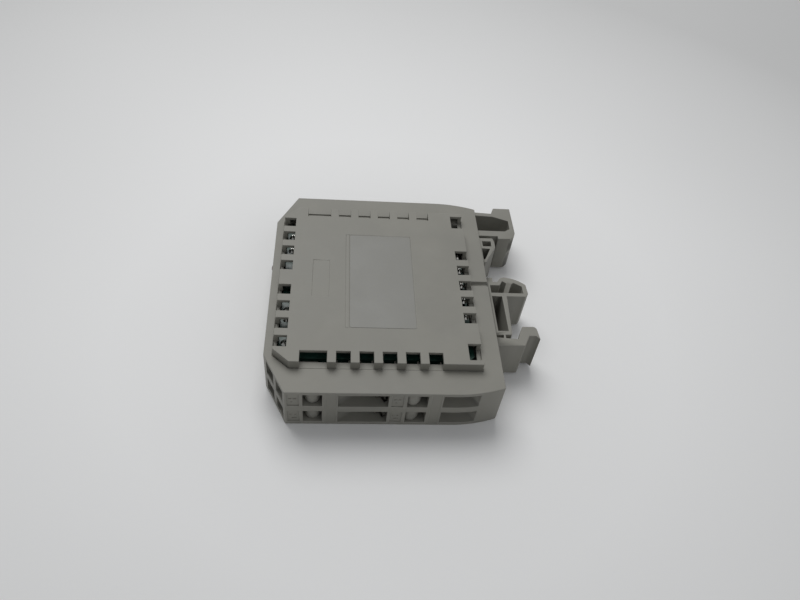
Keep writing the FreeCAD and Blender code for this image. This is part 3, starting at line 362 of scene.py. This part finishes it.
def bandedMaterial(name, v):
    # the value "along" runs from 0 to 1 over a body's length, and each ring covers a short stretch of it
    material, tree, shader, place = newMaterial(name)
    cloud = useGroup(tree, softCloud, Vector=place, Scale=400.0)
    colour = blendColour(tree, ramp(tree, cloud, 0.0, 1.0, 0.0, 0.25), v["colour"], (0.02, 0.02, 0.02))
    along = attribute(tree, "along")
    for middle, width, ring in v["rings"]:
        apart = combine(tree, "ABSOLUTE", combine(tree, "SUBTRACT", along, middle), 0.0)
        colour = blendColour(tree, ramp(tree, apart, width / 2 - 0.01, width / 2, 1.0, 0.0), colour, ring)
    wire(tree, colour, shader.inputs["Base Color"])
    shader.inputs["Roughness"].default_value = v["rough"]
    grain = useGroup(tree, fineGrain, Vector=place, Scale=3000.0, Strength=0.2, Distance=0.02 * mm)
    wire(tree, grain, shader.inputs["Normal"])
    return material


materials = {name: slotMaterial(name, v) for name, v in finishes.items()}
materials.update({name: bandedMaterial(name, v) for name, v in bands.items()})
print("materials:", len(materials))


# surfaces

def gridFaces(rows, columns):
    # quads between neighbouring rows of points, each row closed on itself
    row = np.arange(rows - 1)[:, None] * columns
    here = np.arange(columns)[None, :]
    after = (here + 1) % columns
    quads = np.stack((row + here, row + after, row + columns + after, row + columns + here), axis=-1)
    return quads.reshape(-1, 4)


latheSides = 32
poleWeld = 1e-7        # m within which the points of a closing ring become one
sharpTurn = 38         # degrees beyond which the shading breaks at an edge


def lathe(profile, spot, along, sides=latheSides):
    # a point of the surface is spot + along * height + radius * (across * cos(turn) + up * sin(turn))
    profile = np.array(profile, dtype=float)
    along = np.array(along, dtype=float)
    across = np.cross(along, (0.0, 0.0, 1.0)) if abs(along[2]) < 0.9 else np.array((1.0, 0.0, 0.0))
    up = np.cross(across, along)
    turn = np.linspace(0.0, 2 * math.pi, sides, endpoint=False)
    circle = np.cos(turn)[:, None] * across + np.sin(turn)[:, None] * up
    points = np.array(spot) + profile[:, 1, None, None] * along + profile[:, 0, None, None] * circle[None]
    return points.reshape(-1, 3), gridFaces(len(profile), sides)


def tube(path, radius, sides=12):
    # rings of radius round each point of the path, square to the mean of its two neighbouring directions
    path = np.array(path, dtype=float)
    steps = np.diff(path, axis=0)
    steps /= np.linalg.norm(steps, axis=1)[:, None]
    heading = np.vstack((steps[:1], steps[:-1] + steps[1:], steps[-1:]))
    heading /= np.linalg.norm(heading, axis=1)[:, None]
    side = np.broadcast_to((1.0, 0.0, 0.0), heading.shape)
    up = np.cross(side, heading)
    turn = np.linspace(0.0, 2 * math.pi, sides, endpoint=False)
    ring = side[:, None] * np.cos(turn)[None, :, None] + up[:, None] * np.sin(turn)[None, :, None]
    points = path[:, None] + radius * ring
    return points.reshape(-1, 3), gridFaces(len(path), sides)


def stack(outline, levels, place):
    # each level is the outline shrunk towards its middle to a share and lifted to a height, and the last
    # one closes on its middle point; place turns flat points and heights into the row frame
    outline = np.array(outline, dtype=float)
    middle = outline.mean(axis=0)
    rings = [np.column_stack((middle + (outline - middle) * share, np.full(len(outline), height)))
             for height, share in levels]
    rings.append(np.column_stack((np.tile(middle, (len(outline), 1)), np.full(len(outline), levels[-1][0]))))
    return place(np.vstack(rings)), gridFaces(len(rings), len(outline))


def pill(start, end, radius, points=8):
    # outline of a bar with round ends
    start, end = np.array(start, dtype=float), np.array(end, dtype=float)
    heading = math.atan2(*(end - start)[::-1]) if np.any(end != start) else 0.0
    turn = np.linspace(-math.pi / 2, math.pi / 2, points)
    first = end + radius * np.column_stack((np.cos(turn + heading), np.sin(turn + heading)))
    return np.vstack((first, start - (first - end)))


def roundedBox(low, high, radius, points=6):
    # outline of a rectangle whose corners are quarter circles
    corners = []
    for k, (x, y) in enumerate(((high[0], high[1]), (low[0], high[1]), (low[0], low[1]), (high[0], low[1]))):
        turn = np.linspace(0.0, math.pi / 2, points) + k * math.pi / 2
        middle = (x - radius * math.copysign(1, math.cos(turn[points // 2])),
                  y - radius * math.copysign(1, math.sin(turn[points // 2])))
        corners.append(np.array(middle) + radius * np.column_stack((np.cos(turn), np.sin(turn))))
    return np.vstack(corners)


def joined(parts):
    points, faces, start = [], [], 0
    for some, quads in parts:
        points.append(some)
        faces.append(quads + start)
        start += len(some)
    return np.vstack(points), np.vstack(faces)


def placePiece(name, mesh, node, stands=True, weight=50):
    # a piece that stands for the node, or that only rides on its body
    piece = bpy.data.objects.new(name, mesh)
    bpy.context.scene.collection.objects.link(piece)
    even = piece.modifiers.new("evenShading", "WEIGHTED_NORMAL")
    even.mode = "FACE_AREA"
    even.weight = weight
    even.keep_sharp = True
    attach(piece, cadNodes[node]["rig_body"])
    if stands:
        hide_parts(node)


def addPiece(name, surface, node, material, along=None, stands=True):
    # a new mesh, whose points can carry a value that runs along it
    points, faces = surface
    mesh = bpy.data.meshes.new(name)
    mesh.from_pydata(points.tolist(), [], faces.tolist())
    if along is not None:
        layer = mesh.attributes.new("along", "FLOAT", "POINT")
        layer.data.foreach_set("value", along)
    mesh.validate()
    mesh.materials.append(materials[material])
    skin = bmesh.new()
    skin.from_mesh(mesh)
    bmesh.ops.remove_doubles(skin, verts=skin.verts, dist=poleWeld)
    bmesh.ops.recalc_face_normals(skin, faces=skin.faces)
    skin.to_mesh(mesh)
    skin.free()
    mesh.shade_smooth()
    mesh.set_sharp_from_angle(angle=math.radians(sharpTurn))
    placePiece(name, mesh, node, stands)


# carried-over nodes with softened edges

rounding = {"weld": 2e-6, "flatTurn": 0.6, "leastTurn": 32.0, "leastLength": 3.0, "segments": 2}


def roundEdges(skin, width, v):
    # rounds the outer corners that turn far enough and are long enough, and marks the middle of each
    # rounding with the vertex value "edge"
    layer = skin.verts.layers.float.new("edge")
    skin.normal_update()
    leastTurn, leastLength = math.radians(v["leastTurn"]), v["leastLength"] * width
    outer = [edge for edge in skin.edges if edge.is_convex and len(edge.link_faces) == 2
             and edge.calc_face_angle(0.0) > leastTurn and edge.calc_length() > leastLength]
    made = bmesh.ops.bevel(skin, geom=outer, offset=width, segments=v["segments"], profile=0.5,
                           affect="EDGES", clamp_overlap=False)
    rounded = set(face for face in made["faces"] if face.is_valid)
    for vert in skin.verts:
        if all(face in rounded for face in vert.link_faces):
            vert[layer] = 1.0


def mergedCopy(node, name, width, v):
    # welds the node's loose triangles into one skin and joins the triangles of each flat area
    mesh = cadNodes[node].data.copy()
    mesh.name = name
    skin = bmesh.new()
    skin.from_mesh(mesh)
    bmesh.ops.remove_doubles(skin, verts=skin.verts, dist=v["weld"])
    flatTurn = math.radians(v["flatTurn"])
    bmesh.ops.dissolve_limit(skin, angle_limit=flatTurn, verts=skin.verts, edges=skin.edges)
    roundEdges(skin, width, v)
    skin.to_mesh(mesh)
    skin.free()
    mesh.shade_smooth()
    mesh.materials.clear()
    mesh.materials.append(materials[nodeSlots[node]])
    placePiece(name, mesh, node, weight=100)


softEdges = {
    "housing": ("mouldedShell", 0.16), "side_cover": ("castellatedCover", 0.16),
    "rail_latch": ("springHook", 0.16),
    "circuit_board": ("laminateBoard", 0.05), "bridge_rectifier": ("rectifierBlock", 0.15),
    "relay_case": ("relayCan", 0.2), "relay_base": ("relayFloor", 0.1), "coil_bobbin": ("nylonBobbin", 0.06),
    "relay_core": ("ironCore", 0.06), "relay_yoke": ("ironYoke", 0.08), "armature": ("ironArmature", 0.08),
    "return_spring": ("springStrip", 0.03), "driver_card": ("nylonCard", 0.06),
    "contact_blade": ("bronzeBlade", 0.03), "common_terminal": ("commonPost", 0.04),
    "rest_contact": ("restContact", 0.04), "work_contact": ("workContact", 0.04),
    "coil_terminals": ("coilPins", 0.04),
}
for node, (name, width) in softEdges.items():
    mergedCopy(node, name, width * mm, rounding)
clampNames = [node[:-len("_cage")] for node in cadNodes if node.endswith("_cage")]
for clamp in clampNames:
    mergedCopy(f"{clamp}_cage", f"{clamp}_foldedCage", 0.07 * mm, rounding)
    mergedCopy(f"{clamp}_contact_bar", f"{clamp}_tinnedBar", 0.04 * mm, rounding)
print("edges softened on", len(softEdges) + 2 * len(clampNames), "nodes")


# clamp screws

screw = {"headTop": 6.6, "head": 1.6, "headHeight": 1.4, "slotHalf": 0.25, "slotDepth": 0.7, "root": 0.98,
         "crest": 1.2, "pitch": 0.45, "length": 3.45, "rim": 0.14, "turnPoints": 40, "perPitch": 9}


def screwHead(v, place):
    # a turned disc with two lands on it, each the part of the disc on one side of the slot
    r, rim = v["head"], v["rim"]
    turn = np.linspace(0.0, 2 * math.pi, 48, endpoint=False)
    circle = r * np.column_stack((np.cos(turn), np.sin(turn)))
    bottom = v["headHeight"]
    levels = ((v["slotDepth"], 0.0), (v["slotDepth"], 1.0), (bottom - rim, 1.0), (bottom, 0.93))
    parts = [stack(circle, levels, place)]
    reach = math.asin(v["slotHalf"] / r)
    for half in (0.0, math.pi):
        turn = np.linspace(reach, math.pi - reach, 26) + half
        land = r * np.column_stack((np.cos(turn), np.sin(turn)))
        levels = ((v["slotDepth"], 1.0), (rim, 1.0), (rim / 3, 0.96), (0.0, 0.88))
        parts.append(stack(land, levels, place))
    return parts


def screwThread(v, place):
    # the radius is root + (crest - root) * rise, where rise is a triangle wave of height / pitch - turn,
    # and the thread runs out at the head and at the tip
    turn = np.linspace(0.0, 1.0, v["turnPoints"], endpoint=False)[None, :]
    rows = int(v["length"] / v["pitch"] * v["perPitch"])
    height = np.linspace(0.0, v["length"], rows)[:, None]
    wave = 1.0 - np.abs(2.0 * ((height / v["pitch"] - turn) % 1.0) - 1.0)
    runOut = np.clip((height - 0.2) / 0.3, 0.0, 1.0) * np.clip((v["length"] - height) / 0.4, 0.0, 1.0)
    radius = v["root"] + (v["crest"] - v["root"]) * wave * runOut
    radius = radius * np.where(height > v["length"] - 1e-6, 0.85, 1.0)
    flat = np.stack((radius * np.cos(2 * math.pi * turn), radius * np.sin(2 * math.pi * turn),
                     np.broadcast_to(v["headHeight"] + height, radius.shape)), axis=-1).reshape(-1, 3)
    tip = np.tile((0.0, 0.0, v["headHeight"] + v["length"]), (v["turnPoints"], 1))
    return place(np.vstack((flat, tip))), gridFaces(rows + 1, v["turnPoints"])


def placeOnScrew(joint, v):
    # local points are (along the slot, across it, distance from the top of the head), all in mm
    toHead = Vector(joint["axis"]).normalized()
    inward = -toHead
    slotWay = Vector((0.0, 0.0, 1.0)).cross(inward)
    start = np.array(joint["pos_m"]) + np.array(toHead) * v["headTop"] * mm
    axes = np.array((slotWay, (0.0, 0.0, 1.0), inward))
    return lambda points: start + (points * mm) @ axes


joints = {joint["name"]: joint for joint in record["behaviour"]["joints"]}
for clamp in clampNames:
    place = placeOnScrew(joints[f"{clamp}_screw_turn"], screw)
    surface = joined(screwHead(screw, place) + [screwThread(screw, place)])
    addPiece(f"{clamp}_threadedScrew", surface, f"{clamp}_screw", "nickel_screw")
print("screws cut:", len(clampNames))


# parts on the board

solder = {"base": 0.95, "top": 0.3, "height": 0.85, "stub": 0.2, "stubHeight": 1.0, "curve": 2.3, "rings": 9}
leadRadius = 0.28 * mm
roundFrom = 0.78
axialParts = {
    "indicator_resistor": {"name": "smallResistor", "length": 3.0, "waist": 0.84},
    "coil_resistor": {"name": "largeResistor", "length": 6.3, "waist": 0.86},
    "freewheel_diode": {"name": "coilDiode", "length": 4.6, "waist": 1.0},
    "supply_diode": {"name": "inletDiode", "length": 4.6, "waist": 1.0},
}
capacitor = {"leadPitch": 2.5, "rim": 0.35, "crimp": 0.2, "crimpSpot": 1.3, "crimpWidth": 0.7,
             "dish": 0.1, "leadGap": 0.2, "leadSink": 0.4}
light = {"radius": 1.45, "collar": 0.3, "collarLength": 0.9, "edge": 0.06, "back": 4.4, "leadSpot": 6.0,
         "bend": 0.4, "lead": 0.22, "pitch": 1.27}
winding = {"turns": 26, "ripple": 0.12, "inner": 1.7}
boardLow, boardHigh = (corner[2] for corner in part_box("circuit_board"))


def solderSpots():
    # the middle of each joint, from the points on top of the plain cones that stand for them
    mesh = cadNodes["solder_joints"].data
    points = np.empty(len(mesh.vertices) * 3)
    mesh.vertices.foreach_get("co", points)
    points = points.reshape(-1, 3)
    tops = points[points[:, 2] > points[:, 2].max() - 1e-5]
    spots = []
    while len(tops):
        near = np.linalg.norm(tops[:, :2] - tops[0, :2], axis=1) < 0.9 * mm
        spots.append((tops[near].min(axis=0) + tops[near].max(axis=0))[:2] / 2)
        tops = tops[~near]
    return spots


def solderFillets(spots, v):
    # the radius falls from base to top as (1 - rise) to a power, like wetted solder, round a short stub
    rise = np.linspace(0.0, 1.0, v["rings"])
    radius = v["top"] + (v["base"] - v["top"]) * (1.0 - rise) ** v["curve"]
    profile = [(r * mm, h * v["height"] * mm) for r, h in zip(radius, rise)]
    profile += [(v["stub"] * mm, v["height"] * mm), (v["stub"] * mm, 0.94 * v["stubHeight"] * mm),
                (0.6 * v["stub"] * mm, v["stubHeight"] * mm), (0.0, v["stubHeight"] * mm)]
    surface = joined([lathe(profile, (x, y, boardHigh), (0.0, 0.0, 1.0), 24) for x, y in spots])
    addPiece("solderFillets", surface, "solder_joints", "solder")


def copperTracks(spots):
    # right-angled strips under the green mask from each joint to the next one, each strip a flat pill
    def onBoard(points):
        return points + (0.0, 0.0, boardHigh)
    levels = ((0.0, 1.0), (0.03 * mm, 1.0), (0.04 * mm, 0.97))
    order = sorted(spots, key=lambda spot: (round(spot[0] / (9 * mm)), spot[1]))
    parts = []
    for start, end in zip(order[:-1], order[1:]):
        corner = np.array((end[0], start[1]))
        for first, last in ((start, corner), (corner, end)):
            if np.linalg.norm(last - first) > 0.3 * mm:
                parts.append(stack(pill(first, last, 0.35 * mm), levels, onBoard))
    addPiece("copperTracks", joined(parts), "circuit_board", "green_board", stands=False)


def axialPart(node, v):
    # the radius over the length is a waist between two swellings, rounded off like an ellipse past the
    # share "roundFrom" of each half, and the leads are bent up to the board
    low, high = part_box(node)
    radius, x = (high[0] - low[0]) / 2, (high[0] + low[0]) / 2
    z, middle = low[2] + radius, (low[1] + high[1]) / 2
    length = v["length"] * mm
    share = np.linspace(0.0, 1.0, 41)
    fromMiddle = np.abs(2 * share - 1)
    past = np.clip(fromMiddle - roundFrom, 0.0, 1.0) / (1.0 - roundFrom)
    ends = np.sqrt(np.clip(1.0 - past ** 2, 0.0, 1.0))
    swell = v["waist"] + (1.0 - v["waist"]) * np.clip((fromMiddle - 0.35) / 0.25, 0.0, 1.0)
    profile = np.column_stack((radius * ends * swell, (share - 0.5) * length))
    surface = lathe(profile, (x, middle, z), (0.0, 1.0, 0.0))
    addPiece(v["name"], surface, node, nodeSlots[node], np.repeat(share, latheSides))
    leads = []
    for way, y in ((-1, low[1] + 0.3 * mm), (1, high[1] - 0.3 * mm)):
        bend = np.linspace(0.0, math.pi / 2, 6)
        corner = 0.35 * mm
        path = [(x, middle + way * (length / 2 - 0.1 * mm), z)]
        path += [(x, y - way * corner * (1 - math.sin(a)), z + corner * (1 - math.cos(a))) for a in bend]
        path.append((x, y, boardHigh))
        leads.append(tube(path, leadRadius))
    addPiece(f"{v['name']}Leads", joined(leads), node, "tinned_brass")


def capacitorCan(v):
    low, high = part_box("smoothing_capacitor")
    radius = (high[0] - low[0]) / 2
    x, y = (low[0] + high[0]) / 2, (low[1] + high[1]) / 2
    tall = boardLow - v["leadGap"] * mm - low[2]
    rim, crimp, spot = v["rim"] * mm, v["crimp"] * mm, tall - v["crimpSpot"] * mm
    corner = [(radius - rim * (1 - math.sin(a)), rim * (1 - math.cos(a)))
              for a in np.linspace(0, math.pi / 2, 6)]
    groove = [(radius - crimp * math.sin(a) ** 2, spot + a / math.pi * v["crimpWidth"] * mm)
              for a in np.linspace(0, math.pi, 9)]
    dish = v["dish"] * mm
    profile = [(0.0, dish), (radius - 2.2 * rim, dish), (radius - 1.6 * rim, 0.0)] + corner + groove
    profile += [(radius, tall - rim), (radius - rim / 2, tall), (0.0, tall)]
    addPiece("capacitorCan", lathe(profile, (x, y, low[2]), (0.0, 0.0, 1.0), 48), "smoothing_capacitor",
             "capacitor_sleeve")
    leads = []
    for way in (-0.5, 0.5):
        at, sink = y + way * v["leadPitch"] * mm, v["leadSink"] * mm
        path = ((x, at, boardLow - sink), (x, at, boardHigh - sink), (x, at, boardHigh))
        leads.append(tube(path, leadRadius))
    addPiece("capacitorLeads", joined(leads), "smoothing_capacitor", "tinned_brass")


def statusLight(v):
    # a half sphere on a barrel with a collar, turned about X, and two leads bent up to the board
    low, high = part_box("status_light")
    radius, collar = v["radius"] * mm, (v["radius"] + v["collar"]) * mm
    y, z = (low[1] + high[1]) / 2, low[2] + collar
    back, edge = v["back"] * mm - frontOffset * mm - low[0], v["edge"] * mm
    dome = [(radius * math.sin(a), radius * (1 - math.cos(a))) for a in np.linspace(0.0, math.pi / 2, 16)]
    start = back - v["collarLength"] * mm
    profile = dome + [(radius, start - 0.05 * mm), (collar - edge, start), (collar, start + edge),
                      (collar, back - edge), (collar - edge, back), (0.0, back)]
    addPiece("redLens", lathe(profile, (low[0], y, z), (1.0, 0.0, 0.0), 40), "status_light", "red_lens")
    leads = []
    for way in (-1, 1):
        at, far, bend = y + way * v["pitch"] * mm, (v["leadSpot"] - frontOffset) * mm, v["bend"] * mm
        rise = [(far - bend * (1 - math.sin(a)), z + bend * (1 - math.cos(a)))
                for a in np.linspace(0.0, math.pi / 2, 6)]
        path = [(low[0] + back - 0.2 * mm, z)] + rise + [(far, boardHigh)]
        points, faces = tube([(0.0, px, pz) for px, pz in path], v["lead"] * mm)
        leads.append((np.column_stack((points[:, 1], points[:, 0] + at, points[:, 2])), faces[:, ::-1]))
    addPiece("lightLeads", joined(leads), "status_light", "tinned_brass")


def woundCoil(v):
    # the radius is the winding's own less a ripple for each turn of wire
    low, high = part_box("coil_winding")
    radius = (high[0] - low[0]) / 2
    share = np.linspace(0.0, 1.0, v["turns"] * 8 + 1)
    across = radius - v["ripple"] * mm * (1.0 - np.abs(np.sin(math.pi * v["turns"] * share)))
    profile = np.column_stack((across, share * (high[1] - low[1])))
    inner = v["inner"] * mm
    profile = np.vstack(((inner, 0.0), profile, (inner, high[1] - low[1])))
    spot = ((low[0] + high[0]) / 2, low[1], (low[2] + high[2]) / 2)
    addPiece("copperWinding", lathe(profile, spot, (0.0, 1.0, 0.0), 40), "coil_winding", "copper_winding")


spots = solderSpots()
solderFillets(spots, solder)
copperTracks(spots)
for node, v in axialParts.items():
    axialPart(node, v)
capacitorCan(capacitor)
statusLight(light)
woundCoil(winding)
print("board parts and", len(spots), "solder joints are in place")


# raised marks in the marker seats, and the blank label on the cover

marks = {"columns": (6.9, 29.7), "rows": (3.1, 9.3), "seat": 0.3, "rise": 0.16,
         "upper": (((-0.75, 0.35), (-0.35, 0.35), 0.11), ((0.25, 0.35), (0.7, 0.35), 0.11),
                   ((-0.25, -0.75), (-0.25, -1.1), 0.09)),
         "lower": (((-0.6, 0.3), (-0.6, 0.3), 0.17), ((0.45, 0.3), (0.45, 0.3), 0.17),
                   ((-0.3, -0.95), (0.6, -0.95), 0.1))}
label = {"left": 18.9, "right": 34.4, "half": 15.35, "margin": 0.1, "depth": 0.15, "thickness": 0.07,
         "corner": 0.5}


def raisedMarks(v):
    # low pills with rounded tops on both long faces
    parts = []
    for side in (-1, 1):
        for column in v["columns"]:
            for row, key in zip(v["rows"], ("lower", "upper")):
                def onFace(points, side=side, column=column, row=row):
                    out = halfHeight - v["seat"] + points[:, 2]
                    across = -side * points[:, 0]
                    along = column - frontOffset + across
                    return np.column_stack((along, side * out, row + points[:, 1])) * mm
                for start, end, radius in v[key]:
                    levels = ((0.0, 1.0), (0.7 * v["rise"], 1.0), (v["rise"], 0.8))
                    parts.append(stack(pill(start, end, radius), levels, onFace))
    addPiece("raisedMarks", joined(parts), "housing", "grey_housing_plastic", stands=False)


def blankLabel(v):
    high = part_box("side_cover")[1][2]
    low = (v["left"] - frontOffset + v["margin"], -v["half"] + v["margin"])
    far = (v["right"] - frontOffset - v["margin"], v["half"] - v["margin"])

    def inRecess(points):
        return points * mm + (0.0, 0.0, high - v["depth"] * mm)
    levels = ((0.0, 1.0), (v["thickness"], 1.0))
    surface = stack(roundedBox(low, far, v["corner"]), levels, inRecess)
    addPiece("blankLabel", surface, "side_cover", "label_paper", stands=False)


raisedMarks(marks)
blankLabel(label)
print("marks and label are on")
